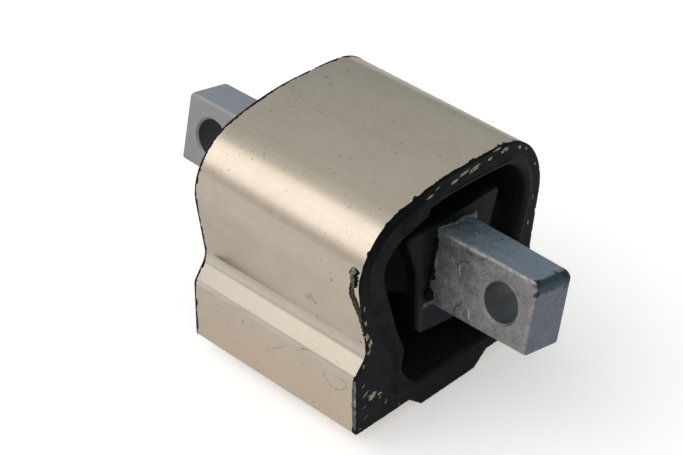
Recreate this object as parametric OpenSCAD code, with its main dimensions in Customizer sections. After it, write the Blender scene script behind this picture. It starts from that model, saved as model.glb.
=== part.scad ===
// Bonded transmission mount: an extruded aluminium housing, a moulded rubber spring and a cast core bar.
// X runs along the core bar, Y across the housing, Z up. The origin is the centre of the keel's underside.
// Outlines are drawn in the Y-Z plane, with their own zero height at the underside of the feet.

/* [Housing] */
// Length of the extrusion along the core bar
housing_len = 60; // [40:1:90]
// Width across the outer sides of the feet
foot_span = 71.6; // [70:0.2:80]
// Height of the straight outer sides of the feet
foot_h = 18.6; // [16:0.2:20]
// Radius of the lower outer edges of the feet
foot_r = 1.5; // [0.5:0.5:3]
// Radius of the upper outer edges of the feet
foot_top_r = 3.5; // [1:0.5:4]
// Height of the waist above the underside of the feet
waist_z = 25; // [24:0.5:27]
// Radius in the hollow of the waist
waist_r = 5.5; // [3:0.5:7]
// Inward lean of the side walls, in degrees
side_lean = 8.5; // [6:0.5:10]
// Width across the shoulders
shoulder_span = 68.4; // [66:0.2:70]
// Radius of the rounded shoulders
shoulder_r = 18; // [16:0.5:20]
// Height of the crown above the underside of the feet
crown_z = 66; // [64:0.5:70]
// Radius of the gently domed crown
crown_r = 90; // [75:1:150]
// Width of the flat underside of the keel
keel_w = 21; // [16:1:24]
// Depth of the keel below the feet
keel_h = 4; // [2:0.5:6]
// Slope of the keel's sides, in degrees from level
keel_slope = 40; // [35:1:60]
// Radius along the edges and the roots of the keel
keel_r = 0.5; // [0.2:0.1:1]

/* [Cavity] */
// Metal thickness at the crown and the shoulders
wall_t = 4; // [3:0.25:4.5]
// Metal thickness of the floor between the feet
floor_t = 4; // [3:0.25:5]
// Inward lean of the cavity's sides, in degrees
cavity_lean = 15; // [13:0.5:16]
// Height at which the cavity's sides turn in over the feet
knee_z = 26.5; // [25:0.5:28]
// Width of the pocket between the feet
pocket_w = 42; // [40:0.5:44]
// Height of the pocket's upper edge
pocket_z = 19; // [17:0.5:20]

/* [Base bolts] */
// Tapping diameter of the threaded hole in each foot
base_hole_d = 8.5; // [5:0.1:10.2]
// Depth of the threaded holes
base_hole_depth = 18; // [12:1:20]
// Distance between the two threaded holes
base_hole_pitch = 56; // [54:0.5:58]
// Width of the chamfer at the mouth of each threaded hole
base_hole_chamfer = 0.8; // [0.2:0.1:1.2]
// Slope of the drill point at the bottom of each threaded hole, in degrees
drill_slope = 31; // [20:1:45]

/* [Rubber] */
// Lining thickness at the crown and the right-hand side
lining_t = 2.4; // [1.5:0.1:3]
// Thickness of the padded left-hand side
pad_t = 4.8; // [3.5:0.1:5.5]
// Lining thickness on the floor
floor_lining_t = 3.2; // [2:0.1:4]
// Distance of the padding's step from the centre plane
pad_step_y = 8.8; // [6:0.2:11]
// Width over which the padding's step drops to its full depth
pad_step_run = 1; // [0.6:0.1:2]
// Lining thickness on the sides of the pocket
pocket_lining_t = 2.2; // [1.5:0.1:3]
// Height of the ridge on each side of the pocket above the pocket lining
ridge_h = 1.3; // [0.5:0.1:2]
// Depth of the two arms that carry the core
arm_h = 20; // [16:0.5:22]
// Distance of the arms' end faces behind the end of the housing
arm_setback = 4; // [2:0.5:10]
// Depth of the hollow in the arms' faces, midway between core and wall
arm_dish = 1.2; // [0.2:0.1:2]
// Thickness of the rubber film on the metal end faces
film_t = 0.35; // [0.2:0.05:0.6]
// Distance from the film's outer edge to the edge of the housing
film_margin = 0.3; // [0.1:0.1:1]
// Height of the rounded lip above the end of the housing
lip_h = 1.1; // [0.8:0.1:2]
// Radius along the outer edge of the lip
lip_r = 0.6; // [0.3:0.1:0.8]
// Radius at the mouth of the opening
mouth_r = 1.6; // [0.8:0.1:2]
// Thickness of the skin bonded around the core's block
skin_t = 0.7; // [0.4:0.1:1.2]

/* [Core] */
// Overall length of the core bar
core_len = 127; // [110:1:150]
// Lean of the tangs, in degrees, with the top towards +Y
tilt = 12; // [6:0.5:14]
// Thickness of each tang at its tip
tang_w = 13.4; // [12:0.2:15]
// Height of each tang at its tip
tang_h = 20.8; // [18:0.2:22]
// Draft of the tangs on each face, in degrees
draft = 0.6; // [0:0.1:1]
// Radius along the long edges of the tangs
tang_r = 1.2; // [0.5:0.1:2]
// Radius of the tangs' upper tip corners
tip_r = 2; // [1:0.1:3]
// Diameter of the cross hole in each tang
bolt_d = 11; // [8:0.1:12]
// Distance from the middle of each cross hole to the tip of its tang
bolt_edge = 10.5; // [9:0.5:20]
// Width of the chamfer around each cross hole
bolt_chamfer = 0.7; // [0.2:0.1:1]
// Width of the core's block at its top
block_top_w = 32.4; // [28:0.2:34]
// Width of the core's block below its shoulders
block_w = 24.6; // [22:0.2:26]
// Height of the block's top above the underside of the feet
block_top_z = 52; // [50:0.5:54]
// Height of the block's lower left corner above the underside of the feet
block_low_z = 21.6; // [18:0.2:23]
// Slope of the block's underside, in degrees
block_slope = 9; // [0:0.5:12]
// Chamfer around the ends of the block
block_chamfer = 0.6; // [0.2:0.1:1]
// Radius along the lower edges and the upper left edge of the block
block_r = 1; // [0.5:0.1:1.5]
// Radius along the sharper upper right edge of the block
block_horn_r = 0.5; // [0.3:0.1:1]
// Radius in the hollow sides of the block
block_waist_r = 6; // [3:0.5:8]
// Size of the corners of the block's end faces that the rubber leaves bare
bare_corner = 9; // [6:0.5:10]

/* [Hidden] */
$fn = 64;

// Turn of each chord in the arc of a rounded corner, in degrees
chord_turn = 7.5;
// Chords in the rounding of the lip and of the mouth
lip_steps = 3;
// Slices in the curve of each arm, and the thickness of the plates that they are stretched between
arm_slices = 6;
plate_t = 0.01;
// Radii that only soften the cavity and the opening
soft_r = 3.5;
ridge_r = 1.2;
step_r = 0.3;
// How far a cut runs past the face that it opens, and past the lip
past = 1;
past_lip = 0.15;
// How far the rounding of the mouth turns before it runs straight on, in degrees
mouth_turn = 70;

half_len = housing_len / 2;
foot_y = foot_span / 2;
keel_y = keel_w / 2;
keel_root_y = keel_y + keel_h / tan(keel_slope);

// Centres of the shoulder arc and of the crown arc, and the direction in which the two arcs meet
shoulder_y = shoulder_span / 2 - shoulder_r;
meet = 90 - asin(shoulder_y / (crown_r - shoulder_r));
crown_c = [0, crown_z - crown_r];
shoulder_c = crown_c + (crown_r - shoulder_r) * [cos(meet), sin(meet)];

// Heights and widths of the rubber opening
opening_floor_z = floor_t + floor_lining_t;
opening_y = pocket_w / 2 - pocket_lining_t;
opening_bend_z = (opening_floor_z + pocket_z) / 2;

// Middle of the core, level with the middle of the two side walls
core_y = -0.9;
core_z = 39;
// The block's sides run straight below this height, and its right-hand side sits a little further out
block_waist_z = core_z + 1;
block_shift = 0.4;

// Corner [y, z, r] of two lines that touch the arc about c of radius r in the directions a0 and a1
function arc_corner(c, r, a0, a1) =
    let (reach = r / cos((a1 - a0) / 2), middle = (a0 + a1) / 2)
    [c.x + reach * cos(middle), c.y + reach * sin(middle), r];

// The same outline corner on the other side of the centre plane
function flip(p) = [-p.x, p.y, p.z];

// Corner where the shoulder meets the side, on a surface that lies t inside the housing's outer face
function shoulder(t, lean) = arc_corner(shoulder_c, shoulder_r - t, -lean, meet);

// Corner on the side line below a shoulder corner, at height z
function below(p, lean, z, r) = [p.x - (p.y - z) * tan(lean), z, r];

function unit(v) = v / norm(v);

// Arc that rounds the corner b between its neighbours a and c, in chords that turn by chord_turn or less
function rounded(a, b, c) =
    let (
        at = [b.x, b.y],
        u = unit([a.x, a.y] - at),
        v = unit([c.x, c.y] - at),
        half = acos(u * v) / 2,
        centre = at + unit(u + v) * b.z / sin(half),
        from = at + u * b.z / tan(half) - centre,
        to = at + v * b.z / tan(half) - centre,
        start = atan2(from.y, from.x),
        turn = atan2(from.x * to.y - from.y * to.x, from * to),
        chords = ceil(abs(turn) / chord_turn - 0.01)
    )
    [for (i = [0:chords])
        let (a = start + turn * i / chords)
        centre + b.z * [cos(a), sin(a)]];

// Points of a closed outline, given as corners [y, z, r] in anticlockwise order
function outline(corners) =
    let (n = len(corners))
    [for (i = [0:n - 1]) each rounded(corners[(i + n - 1) % n], corners[i], corners[(i + 1) % n])];

// Corners of the same outline, with each side moved inwards by d
function inset(corners, d) =
    let (n = len(corners))
    [for (i = [0:n - 1])
        let (
            a = corners[(i + n - 1) % n],
            b = corners[i],
            c = corners[(i + 1) % n],
            e = unit([b.x - a.x, b.y - a.y]),
            f = unit([c.x - b.x, c.y - b.y]),
            shift = [-e.y - f.y, e.x + f.x] * d / (1 + e * f),
            bend = sign(e.x * f.y - e.y * f.x)
        )
        [b.x + shift.x, b.y + shift.y, max(b.z - bend * d, 0.1)]];

// Outer outline of the extrusion
side = shoulder(0, side_lean);
outer_half = [
    [keel_y, -keel_h, keel_r],
    [keel_root_y, 0, keel_r],
    [foot_y, 0, foot_r],
    [foot_y, foot_h, foot_top_r],
    below(side, side_lean, waist_z, waist_r),
    side
];
crown = arc_corner(crown_c, crown_r, meet, 180 - meet);
outer = concat(outer_half, [crown], [for (i = [len(outer_half) - 1:-1:0]) flip(outer_half[i])]);

// Outline of the cavity in the extrusion, which is also the outside of the rubber lining
cavity_side = shoulder(wall_t, cavity_lean);
cavity_half = [
    [pocket_w / 2, floor_t, soft_r],
    [pocket_w / 2, pocket_z, ridge_r],
    below(cavity_side, cavity_lean, knee_z, soft_r),
    cavity_side
];
cavity_crown = arc_corner(crown_c, crown_r - wall_t, meet, 180 - meet);
cavity = concat(cavity_half, [cavity_crown], [for (i = [len(cavity_half) - 1:-1:0]) flip(cavity_half[i])]);

// Outline of the opening in the rubber: thin lining above and on the right, thick padding on the left
right_side = shoulder(wall_t + lining_t, cavity_lean);
left_side = flip(shoulder(wall_t + pad_t, cavity_lean));
ceiling_r = crown_r - wall_t - lining_t;
step_turn = asin(pad_step_y / ceiling_r);
step_top_z = crown_c.y + ceiling_r * cos(step_turn);
step_low_z = left_side.y + (-left_side.x - pad_step_y - pad_step_run) * tan(90 - meet);
ridge_y = opening_y - ridge_h;
opening_half = [
    [opening_y - soft_r, opening_floor_z, soft_r],
    [opening_y, opening_bend_z, soft_r],
    [ridge_y, pocket_z, ridge_r]
];
opening = concat(
    opening_half,
    [
        below(right_side, cavity_lean, knee_z, soft_r),
        right_side,
        arc_corner(crown_c, ceiling_r, meet, 90 + step_turn),
        [-pad_step_y, step_top_z, step_r],
        [-pad_step_y - pad_step_run, step_low_z, 2 * step_r],
        left_side,
        flip(below(flip(left_side), cavity_lean, knee_z, soft_r))
    ],
    [for (i = [len(opening_half) - 1:-1:0]) flip(opening_half[i])]
);

// Outline of the core's block, wider at its top, with a sloping underside
block = [
    [-block_w / 2 + block_shift, block_low_z, block_r],
    [block_w / 2 + block_shift, block_low_z - block_w * tan(block_slope), block_r],
    [block_w / 2 + block_shift, block_waist_z, block_waist_r],
    [block_top_w / 2 + block_shift, block_top_z, block_horn_r],
    [-block_top_w / 2 + block_shift, block_top_z, block_r],
    [-block_w / 2 + block_shift, block_waist_z, block_waist_r]
];

// Extrudes an outline along X, centred on the origin
module along_x(length)
    translate([0, 0, keel_h])
        rotate([90, 0, 90])
            linear_extrude(height = length, center = true)
                children();

// Skins a solid through outlines with equal numbers of points, each at its own place along X
module loft(places, rings) {
    n = len(rings[0]);
    last = len(rings) - 1;
    points = [for (i = [0:last]) for (p = rings[i]) [places[i], p.x, p.y + keel_h]];
    sides = [for (i = [0:last - 1]) for (j = [0:n - 1])
        let (a = i * n + j, b = i * n + (j + 1) % n)
        each [[a, a + n, b], [b, a + n, b + n]]];
    caps = [[for (j = [0:n - 1]) j], [for (j = [n - 1:-1:0]) last * n + j]];
    polyhedron(points, concat(sides, caps), convexity = 6);
}

// Places a shape at both ends of the mount
module both_ends() {
    children();
    mirror([1, 0, 0]) children();
}

// Places a shape in the core's own leaning frame
module leaning()
    translate([0, core_y, core_z + keel_h])
        rotate([-tilt, 0, 0])
            children();

// Threaded hole in a foot, with a drill point and a chamfered mouth
module base_hole() {
    r = base_hole_d / 2;
    translate([0, 0, -past]) cylinder(r = r, h = base_hole_depth + past);
    translate([0, 0, base_hole_depth]) cylinder(r1 = r, r2 = 0, h = r * tan(drill_slope));
    translate([0, 0, -past])
        cylinder(r1 = r + base_hole_chamfer + past, r2 = r, h = base_hole_chamfer + past);
}

module outer_housing() {
    color([0.74, 0.69, 0.6])
    difference() {
        along_x(housing_len) polygon(outline(outer));
        along_x(housing_len + 2 * past) polygon(outline(cavity));
        for (side_sign = [-1, 1])
            translate([0, side_sign * base_hole_pitch / 2, keel_h]) base_hole();
    }
}

// Stations [x, growth] along the whole length: a quarter round of radius r below each end, cut off at `last` degrees
function stations(end_x, r, flare, last) =
    let (quarter = [for (i = [0:lip_steps])
        let (a = last * i / lip_steps)
        [end_x - r + r * sin(a), flare * (1 - cos(a))]])
    concat([for (i = [lip_steps:-1:0]) [-quarter[i][0], quarter[i][1]]], quarter);

// Rubber lining with a rounded lip that stands above each end of the housing
module lining() {
    list = stations(half_len + lip_h, lip_r, lip_r, 90);
    loft([for (s = list) s[0]], [for (s = list) outline(inset(cavity, s[1]))]);
}

// Opening through the rubber, with rounded mouths that run on a little past the lip
module opening_cut() {
    list = stations(half_len + lip_h, mouth_r, -mouth_r, mouth_turn);
    reach = half_len + lip_h + past_lip;
    straight = past_lip + mouth_r * (1 - sin(mouth_turn));
    growth = -mouth_r * (1 - cos(mouth_turn)) - straight * tan(mouth_turn);
    loft(
        concat([-reach], [for (s = list) s[0]], [reach]),
        [for (d = concat([growth], [for (s = list) s[1]], [growth])) outline(inset(opening, d))]
    );
}

// Film that the mould leaves on the end faces of the housing
module end_films()
    for (end = [-1, 1])
        translate([end * (half_len + film_t / 2), 0, 0])
            along_x(film_t) polygon(outline(inset(outer, film_margin)));

// Thin slice across an arm, at a share t of its reach from the core to the side wall
module arm_slice(t) {
    near_y = block_w / 2 - skin_t - past;
    far_y = shoulder_span / 2 - wall_t + past;
    dish = arm_dish * sin(180 * t);
    size = [housing_len - 2 * (arm_setback + dish), plate_t, arm_h - 2 * dish];
    translate([0, near_y + (far_y - near_y) * t, 0]) cube(size, center = true);
}

// Arms that carry the core, hollowed towards their middle and sunk into the lining at both sides
module arms()
    intersection() {
        along_x(housing_len) polygon(outline(inset(cavity, lining_t / 2)));
        leaning()
            for (turn = [0, 180])
                rotate([0, 0, turn])
                    for (i = [1:arm_slices])
                        hull() {
                            arm_slice((i - 1) / arm_slices);
                            arm_slice(i / arm_slices);
                        }
    }

// Skin around the block, with a film on its end faces that misses two corners, cut across their diagonal
module skin()
    difference() {
        along_x(housing_len + 2 * film_t) polygon(outline(inset(block, -skin_t)));
        both_ends()
            for (corner = [block[3], block[0]])
                translate([half_len - arm_setback / 2, corner.x, corner.y + keel_h])
                    rotate([45 - tilt, 0, 0])
                        cube(bare_corner, center = true);
    }

module rubber_body() {
    color([0.1, 0.1, 0.11])
    difference() {
        union() {
            difference() {
                union() {
                    lining();
                    end_films();
                }
                opening_cut();
            }
            arms();
            skin();
        }
        core_solid();
    }
}

// Bar with a tang at each end, drafted on all four faces, with rounded tips
module bar() {
    tip_x = core_len / 2;
    rise = tip_x * tan(draft);
    leaning()
        intersection() {
            rotate([90, 0, 90])
                linear_extrude(height = core_len, center = true)
                    polygon(outline([
                        for (p = [[-1, -1], [1, -1], [1, 1], [-1, 1]])
                            [p.x * (tang_w / 2 + rise), p.y * (tang_h / 2 + rise), tang_r + rise]
                    ]));
            rotate([90, 0, 0])
                linear_extrude(height = 2 * tang_w, center = true)
                    polygon(outline([
                        [-tip_x, -tang_h / 2, tang_r],
                        [0, -tang_h / 2 - rise, tang_r],
                        [tip_x, -tang_h / 2, tang_r],
                        [tip_x, tang_h / 2, tip_r],
                        [0, tang_h / 2 + rise, tip_r],
                        [-tip_x, tang_h / 2, tip_r]
                    ]));
            linear_extrude(height = 2 * tang_h, center = true)
                polygon(outline([
                    [-tip_x, -tang_w / 2, tang_r],
                    [0, -tang_w / 2 - rise, tang_r],
                    [tip_x, -tang_w / 2, tang_r],
                    [tip_x, tang_w / 2, tang_r],
                    [0, tang_w / 2 + rise, tang_r],
                    [-tip_x, tang_w / 2, tang_r]
                ]));
        }
}

// Cross hole through a tang, chamfered on both faces
module cross_hole() {
    r = bolt_d / 2;
    face = tang_w / 2 + bolt_edge * tan(draft);
    rotate([90, 0, 0]) {
        cylinder(r = r, h = 2 * tang_w, center = true);
        for (turn = [0, 180])
            rotate([turn, 0, 0])
                translate([0, 0, face - bolt_chamfer])
                    cylinder(r1 = r, r2 = r + bolt_chamfer + past, h = bolt_chamfer + past);
    }
}

module core_solid() {
    shape = outline(block);
    small = outline(inset(block, block_chamfer));
    edge = half_len - block_chamfer;
    bar();
    loft([-half_len, -edge, edge, half_len], [small, shape, shape, small]);
}

module inner_core() {
    color([0.6, 0.61, 0.62])
    difference() {
        core_solid();
        for (end = [-1, 1])
            leaning() translate([end * (core_len / 2 - bolt_edge), 0, 0]) cross_hole();
    }
}

outer_housing();
rubber_body();
inner_core();
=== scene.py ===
# Looks for the bonded transmission mount: extruded aluminium housing, moulded rubber, cast core bar.
# Sizes are in millimetres in the helpers and become metres when a mesh is made.
# Outlines lie in the Y-Z plane, with zero height at the underside of the feet.
import math
import random

import bmesh
import bpy
import numpy as np
from mathutils import Matrix, Vector, noise


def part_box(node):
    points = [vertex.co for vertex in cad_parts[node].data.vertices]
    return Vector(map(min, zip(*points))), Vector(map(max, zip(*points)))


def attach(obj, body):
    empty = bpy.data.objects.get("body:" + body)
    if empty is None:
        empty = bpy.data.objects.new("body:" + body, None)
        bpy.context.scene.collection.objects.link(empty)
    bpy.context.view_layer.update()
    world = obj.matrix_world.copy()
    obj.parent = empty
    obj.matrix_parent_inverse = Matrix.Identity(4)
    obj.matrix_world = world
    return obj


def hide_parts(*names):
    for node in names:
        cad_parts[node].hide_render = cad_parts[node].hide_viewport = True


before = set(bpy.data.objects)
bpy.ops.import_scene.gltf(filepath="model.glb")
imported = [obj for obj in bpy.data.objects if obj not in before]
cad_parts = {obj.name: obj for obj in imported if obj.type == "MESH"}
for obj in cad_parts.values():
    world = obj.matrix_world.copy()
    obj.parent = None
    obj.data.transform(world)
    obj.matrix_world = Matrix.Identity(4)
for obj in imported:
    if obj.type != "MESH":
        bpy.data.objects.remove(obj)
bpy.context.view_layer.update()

scene = bpy.context.scene

# Sizes, read from the frame where it has them
MM = 0.001
house_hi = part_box("outer_housing")[1]
core_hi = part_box("inner_core")[1]
HALF = house_hi.x * 1000
KEEL_H = 4.0
FOOT_Y = house_hi.y * 1000
CROWN_Z = house_hi.z * 1000 - KEEL_H
TIP_X = core_hi.x * 1000
FOOT_H, FOOT_R, FOOT_TOP_R = 18.6, 1.5, 3.5
WAIST_Z, WAIST_R, SIDE_LEAN = 25.0, 5.5, 8.5
SHOULDER_SPAN, SHOULDER_R, CROWN_R = 68.4, 18.0, 90.0
KEEL_W, KEEL_SLOPE = 21.0, 40.0
WALL_T, FLOOR_T, CAVITY_LEAN, KNEE_Z = 4.0, 4.0, 15.0, 26.5
POCKET_W, POCKET_Z = 42.0, 19.0
HOLE_D, HOLE_DEPTH, HOLE_PITCH, HOLE_CHAMFER = 8.5, 18.0, 56.0, 0.8
LINING_T, PAD_T, FLOOR_LINING_T, PAD_STEP_Y = 2.4, 4.8, 3.2, 8.8
POCKET_LINING_T, RIDGE_H = 2.2, 1.3
FILM_STEP = 0.28
ARM_H, ARM_SETBACK = 20.0, 4.0
FILM_T, FILM_MID, LIP_H, MOUTH_R, SKIN_T = 0.35, 27.0, 1.1, 1.6, 0.7
# Outer slope of the lip: height above the metal, and distance inside the cavity's outline
LIP_CURVE = ((0.3, -1.0), (0.45, -0.6), (0.7, -0.15), (0.95, 0.25), (1.1, 0.5))
TILT, TANG_W, TANG_H, DRAFT, TANG_R, TIP_R, TIP_SIDE_R, TIP_NEAR_R = 12.0, 13.4, 20.8, 0.6, 1.2, 2.0, 0.45, 1.2
LEAN = math.radians(TILT)
BOLT_D, BOLT_PITCH, BOLT_CHAMFER = 11.0, 106.0, 0.7
BLOCK_TOP_W, BLOCK_W, BLOCK_TOP_Z, BLOCK_LOW_Z = 32.4, 24.6, 52.0, 21.6
BLOCK_SLOPE, BLOCK_SHIFT, BLOCK_R, BLOCK_HORN_R, BLOCK_WAIST_R = 9.0, 0.4, 1.0, 0.5, 6.0
CORE_Y, CORE_Z = -0.9, 39.0
# The crown isn't quite even: how much it sags in the middle, and on each side where it starts to depart
# from that, over what distance, and by how much; all of it between two heights
CROOK_MID, CROOK_LEFT, CROOK_RIGHT, CROOK_LOW, CROOK_HIGH = -0.25, (0.0, 22.0, -0.35), (3.0, 24.0, 1.3), 48.0, 58.0


# Outlines
def tan(deg):
    return math.tan(math.radians(deg))


def arc_corner(c, r, a0, a1):
    reach, middle = r / math.cos(math.radians(a1 - a0) / 2), math.radians(a0 + a1) / 2
    return (c[0] + reach * math.cos(middle), c[1] + reach * math.sin(middle), r)


def flip(p):
    return (-p[0], p[1], p[2])


def below(p, lean, z, r):
    return (p[0] - (p[1] - z) * tan(lean), z, r)


def rounded(a, b, c, step):
    at = np.array(b[:2])
    u, v = np.array(a[:2]) - at, np.array(c[:2]) - at
    u, v = u / np.linalg.norm(u), v / np.linalg.norm(v)
    half = math.acos(float(np.clip(u @ v, -1, 1))) / 2
    mid = (u + v) / np.linalg.norm(u + v)
    centre = at + mid * b[2] / math.sin(half)
    start, end = at + u * b[2] / math.tan(half) - centre, at + v * b[2] / math.tan(half) - centre
    a0 = math.atan2(start[1], start[0])
    turn = math.atan2(start[0] * end[1] - start[1] * end[0], start @ end)
    n = max(1, math.ceil(math.degrees(abs(turn)) / step - 0.01))
    return [centre + b[2] * np.array((math.cos(a0 + turn * i / n), math.sin(a0 + turn * i / n)))
            for i in range(n + 1)]


def outline(corners, step=4.0):
    n = len(corners)
    points = []
    for i in range(n):
        points += rounded(corners[i - 1], corners[i], corners[(i + 1) % n], step)
    return np.array(points)


def inset(corners, d):
    n, made = len(corners), []
    for i in range(n):
        a, b, c = (np.array(corners[k % n][:2]) for k in (i - 1, i, i + 1))
        e, f = (b - a) / np.linalg.norm(b - a), (c - b) / np.linalg.norm(c - b)
        shift = np.array((-e[1] - f[1], e[0] + f[0])) * d / (1 + e @ f)
        bend = math.copysign(1, e[0] * f[1] - e[1] * f[0])
        made.append((b[0] + shift[0], b[1] + shift[1], max(corners[i][2] - bend * d, 0.1)))
    return made


def mirrored(half, middle):
    return half + middle + [flip(p) for p in reversed(half)]


apart = CROWN_R - SHOULDER_R
MEET = 90 - math.degrees(math.asin((SHOULDER_SPAN / 2 - SHOULDER_R) / apart))
crown_c = (0.0, CROWN_Z - CROWN_R)
shoulder_c = (apart * math.cos(math.radians(MEET)), crown_c[1] + apart * math.sin(math.radians(MEET)))


def shoulder(t, lean):
    return arc_corner(shoulder_c, SHOULDER_R - t, -lean, MEET)


side = shoulder(0, SIDE_LEAN)
OUTER = mirrored(
    [(KEEL_W / 2, -KEEL_H, 0.5), (KEEL_W / 2 + KEEL_H / tan(KEEL_SLOPE), 0, 0.5), (FOOT_Y, 0, FOOT_R),
     (FOOT_Y, FOOT_H, FOOT_TOP_R), below(side, SIDE_LEAN, WAIST_Z, WAIST_R), side],
    [arc_corner(crown_c, CROWN_R, MEET, 180 - MEET)])
cavity_side = shoulder(WALL_T, CAVITY_LEAN)
CAVITY = mirrored(
    [(POCKET_W / 2, FLOOR_T, 3.5), (POCKET_W / 2, POCKET_Z, 1.2),
     below(cavity_side, CAVITY_LEAN, KNEE_Z, 3.5), cavity_side],
    [arc_corner(crown_c, CROWN_R - WALL_T, MEET, 180 - MEET)])
right_side = shoulder(WALL_T + LINING_T, CAVITY_LEAN)
left_side = flip(shoulder(WALL_T + PAD_T, CAVITY_LEAN))
ceiling_r = CROWN_R - WALL_T - LINING_T
step_turn = math.degrees(math.asin(PAD_STEP_Y / ceiling_r))
step_top_z = crown_c[1] + ceiling_r * math.cos(math.radians(step_turn))
step_low_z = left_side[1] + (-left_side[0] - PAD_STEP_Y - 1) * tan(90 - MEET)
opening_y = POCKET_W / 2 - POCKET_LINING_T
opening_half = [(opening_y - 3.5, FLOOR_T + FLOOR_LINING_T, 3.5),
                (opening_y, (FLOOR_T + FLOOR_LINING_T + POCKET_Z) / 2, 3.5),
                (opening_y - RIDGE_H, POCKET_Z, 1.2)]
OPENING = (opening_half
           + [below(right_side, CAVITY_LEAN, KNEE_Z, 3.5), right_side,
              arc_corner(crown_c, ceiling_r, MEET, 90 + step_turn),
              (-PAD_STEP_Y, step_top_z, 0.3), (-PAD_STEP_Y - 1, step_low_z, 0.6), left_side,
              flip(below(flip(left_side), CAVITY_LEAN, KNEE_Z, 3.5))]
           + [flip(p) for p in reversed(opening_half)])
BLOCK = [(-BLOCK_W / 2 + BLOCK_SHIFT, BLOCK_LOW_Z, BLOCK_R),
         (BLOCK_W / 2 + BLOCK_SHIFT, BLOCK_LOW_Z - BLOCK_W * tan(BLOCK_SLOPE), BLOCK_R),
         (BLOCK_W / 2 + BLOCK_SHIFT, CORE_Z + 1, BLOCK_WAIST_R),
         (BLOCK_TOP_W / 2 + BLOCK_SHIFT, BLOCK_TOP_Z, BLOCK_HORN_R),
         (-BLOCK_TOP_W / 2 + BLOCK_SHIFT, BLOCK_TOP_Z, BLOCK_R),
         (-BLOCK_W / 2 + BLOCK_SHIFT, CORE_Z + 1, BLOCK_WAIST_R)]


def resampled(points, step):
    """Points of a closed outline at equal steps, with their outward normals."""
    closed = np.vstack((points, points[:1]))
    run = np.concatenate(([0], np.cumsum(np.linalg.norm(np.diff(closed, axis=0), axis=1))))
    n = int(round(run[-1] / step))
    s = np.arange(n) * run[-1] / n
    at = np.column_stack([np.interp(s, run, closed[:, k]) for k in (0, 1)])
    ahead = np.roll(at, -1, axis=0) - np.roll(at, 1, axis=0)
    ahead /= np.linalg.norm(ahead, axis=1)[:, None]
    return at, np.column_stack((ahead[:, 1], -ahead[:, 0]))


# Mesh helpers
def crooked(y, z):
    """Height of an outline point once the crown sags a little at the left and fills out at the right."""
    start, reach, rise = CROOK_RIGHT if y > 0 else CROOK_LEFT
    part = min(max((abs(y) - start) / reach, 0.0), 1.0)
    share = min(max((z - CROOK_LOW) / (CROOK_HIGH - CROOK_LOW), 0.0), 1.0)
    return z + share * (CROOK_MID + rise * (1 - math.cos(math.pi * part)) / 2)


def vert(bm, x, y, z):
    """Vertex at a place in mm, with its height above the feet."""
    return bm.verts.new((x * MM, y * MM, (z + KEEL_H) * MM))


def ring(bm, x, points):
    """Vertices of an outline at x, where x is one number or one for each point."""
    return [vert(bm, a, p[0], crooked(*p[:2])) for a, p in zip(np.broadcast_to(x, len(points)), points)]


def stack(bm, rings, caps=True):
    """Skin from each ring of vertices to the next, with a face over the first and the last."""
    for a, b in zip(rings, rings[1:]):
        for i in range(len(a)):
            j = (i + 1) % len(a)
            bm.faces.new((a[i], a[j], b[j], b[i]))
    if caps:
        bm.faces.new(rings[0])
        bm.faces.new(rings[-1])
    return rings


def loft(bm, places, outlines, caps=True):
    return stack(bm, [ring(bm, x, p) for x, p in zip(places, outlines)], caps)


def both_ends(xs, ds):
    """Places along X and insets there, of one end and before them of the other."""
    return [-x for x in reversed(xs)] + xs, ds[::-1] + ds


def rounded_end(end, r, sign=1, step=30):
    turns = [math.radians(a) for a in range(0, 91, step)]
    return both_ends([end - r + r * math.sin(t) for t in turns], [sign * r * (1 - math.cos(t)) for t in turns])


def prism(bm, corners, spots, step, caps=True):
    """Outline drawn out along X, inset at each place by its distance."""
    return loft(bm, spots[0], [outline(inset(corners, d), step) for d in spots[1]], caps)


def soft_box(us, vs, r, n):
    """Rectangle with rounded corners, from its half sizes on the minus and on the plus side."""
    points = []
    for u, v, start in ((1, -1, -90), (1, 1, 0), (-1, 1, 90), (-1, -1, 180)):
        for k in range(n):
            a = math.radians(start + 90 / (n - 1) * k)
            points.append((u * (us[u > 0] - r) + r * math.cos(a), v * (vs[v > 0] - r) + r * math.sin(a)))
    return points


def fill(bm, *loops):
    """Flat face between closed loops of vertices."""
    edges = []
    for loop in loops:
        for i, v in enumerate(loop):
            edge = bm.edges.get((v, loop[(i + 1) % len(loop)]))
            edges.append(edge or bm.edges.new((v, loop[(i + 1) % len(loop)])))
    bmesh.ops.triangle_fill(bm, use_beauty=True, use_dissolve=False, edges=edges)


def shaded(bm, sharp):
    """Smooth faces, except over edges sharper than the given angle."""
    for face in bm.faces:
        face.smooth = True
    for edge in bm.edges:
        edge.smooth = len(edge.link_faces) != 2 or edge.calc_face_angle(0) <= math.radians(sharp)


def finished(bm, name, sharp=30.0, recalc=True):
    """Object from a bmesh."""
    if recalc:
        bmesh.ops.recalc_face_normals(bm, faces=bm.faces)
    shaded(bm, sharp)
    mesh = bpy.data.meshes.new(name)
    bm.to_mesh(mesh)
    bm.free()
    piece = bpy.data.objects.new(name, mesh)
    scene.collection.objects.link(piece)
    return piece


def applied(piece, sharp):
    """Turns the modifiers of a piece into mesh."""
    graph = bpy.context.evaluated_depsgraph_get()
    old, mesh = piece.data, bpy.data.meshes.new_from_object(piece.evaluated_get(graph))
    piece.modifiers.clear()
    piece.data = mesh
    bpy.data.meshes.remove(old)
    mesh.name = piece.name
    bm = bmesh.new()
    bm.from_mesh(mesh)
    shaded(bm, sharp)
    bm.to_mesh(mesh)
    bm.free()


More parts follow.
